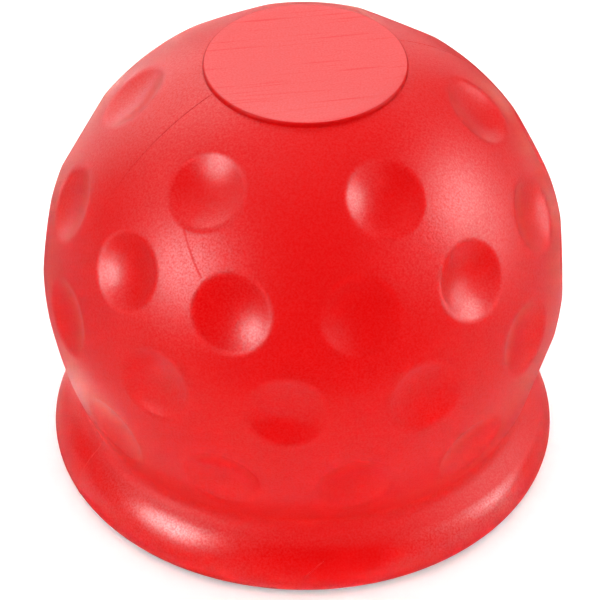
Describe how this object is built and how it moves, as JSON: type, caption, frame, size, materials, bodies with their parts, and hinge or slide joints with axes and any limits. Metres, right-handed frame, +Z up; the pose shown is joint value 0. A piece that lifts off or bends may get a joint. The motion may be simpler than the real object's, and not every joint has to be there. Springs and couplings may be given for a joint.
{
  "type": "tow ball cover",
  "caption": "Round dimpled soft-plastic cap with a flat crown pad and a flared lip, pushed over a tow ball to keep its grease in and dirt off.",
  "frame": {"origin": "centre of the rim face, on the axis of the ball", "axes": "+Z up along the axis of the ball to the crown pad, -Y to the front, +X to the right"},
  "size_m": [0.0598, 0.0598, 0.0538],
  "materials": {
    "soft_plastic": "satin, finely grained, moulded in one bright red"
  },
  "bodies": {
    "root": {"cover": "soft_plastic"}
  },
  "joints": []
}
